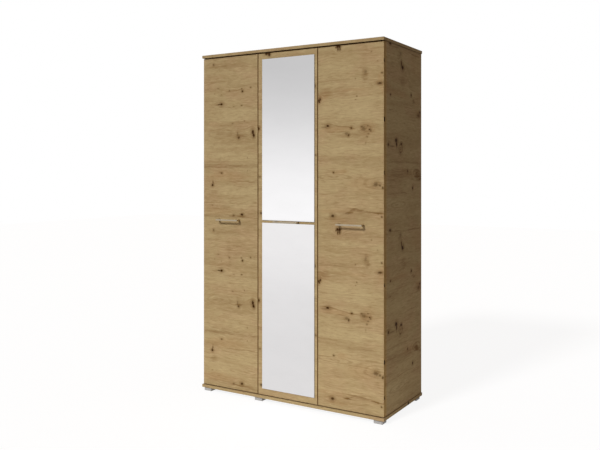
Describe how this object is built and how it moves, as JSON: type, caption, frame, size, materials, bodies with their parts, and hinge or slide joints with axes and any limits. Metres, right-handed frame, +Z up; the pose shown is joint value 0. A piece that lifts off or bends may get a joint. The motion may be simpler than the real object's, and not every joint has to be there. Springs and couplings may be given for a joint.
{
  "type": "wardrobe",
  "caption": "Tall three-door wardrobe in knotty oak decor with mirrors on the middle door, a shelved bay and a hanging bay.",
  "frame": {"origin": "bottom centre of the closed wardrobe's box, at floor level", "axes": "+Z up, -Y towards the user who stands in front of the doors, +X to that user's right"},
  "size_m": [1.2, 0.552, 2.02],
  "materials": {
    "oak_decor": "matt knotty oak decor on chipboard, grain across",
    "hardboard": "white lacquered hardboard",
    "joining_strip": "white plastic",
    "zinc": "zinc plated",
    "nickel": "nickel plated",
    "beech": "plain beech",
    "foot_plastic": "silver-grey plastic",
    "mirror_glass": "silvered float glass, polished edges",
    "satin_handle": "satin"
  },
  "bodies": {
    "carcass": {"top_panel": "oak_decor", "bottom_panel": "oak_decor", "left_side_panel": "oak_decor", "right_side_panel": "oak_decor", "divider_panel": "oak_decor", "back_panel_left": "hardboard", "back_panel_middle": "hardboard", "back_panel_right": "hardboard", "back_joining_strip": "joining_strip", "back_nails": "zinc", "left_shelf_1": "oak_decor", "left_shelf_2": "oak_decor", "left_shelf_3": "oak_decor", "left_shelf_4": "oak_decor", "hat_shelf": "oak_decor", "shelf_pins": "nickel", "clothes_rail": "nickel", "rail_end_cups": "nickel", "rail_cup_screws": "zinc", "cam_housings": "zinc", "cam_bolts": "zinc", "dowels": "beech", "foot_front_left": "foot_plastic", "foot_front_middle": "foot_plastic", "foot_front_right": "foot_plastic", "foot_rear_left": "foot_plastic", "foot_rear_middle": "foot_plastic", "foot_rear_right": "foot_plastic", "foot_screws": "zinc", "left_hinge_arms": "nickel", "middle_hinge_arms": "nickel", "right_hinge_arms": "nickel", "hinge_plates": "zinc", "hinge_plate_screws": "nickel", "hinge_arm_screws": "nickel"},
    "left_door_leaf": {"left_door": "oak_decor", "left_handle": "satin_handle", "left_handle_screws": "zinc", "left_hinge_cups": "zinc", "left_hinge_pins": "nickel", "left_cup_screws": "nickel"},
    "middle_door_leaf": {"middle_door": "oak_decor", "middle_handle": "satin_handle", "middle_handle_screws": "zinc", "middle_hinge_cups": "zinc", "middle_hinge_pins": "nickel", "middle_cup_screws": "nickel", "upper_mirror": "mirror_glass", "lower_mirror": "mirror_glass"},
    "right_door_leaf": {"right_door": "oak_decor", "right_handle": "satin_handle", "right_handle_screws": "zinc", "right_hinge_cups": "zinc", "right_hinge_pins": "nickel", "right_cup_screws": "nickel"}
  },
  "joints": [
    {"name": "left_door_hinge", "type": "hinge", "parent": "carcass", "child": "left_door_leaf", "pos_m": [-0.59, -0.2385, 1.0195], "axis": [0, 0, -1], "range_deg": [0, 100]},
    {"name": "middle_door_hinge", "type": "hinge", "parent": "carcass", "child": "middle_door_leaf", "pos_m": [-0.19183, -0.2385, 1.0195], "axis": [0, 0, -1], "range_deg": [0, 100]},
    {"name": "right_door_hinge", "type": "hinge", "parent": "carcass", "child": "right_door_leaf", "pos_m": [0.59, -0.2385, 1.0195], "axis": [0, 0, 1], "range_deg": [0, 100]}
  ]
}
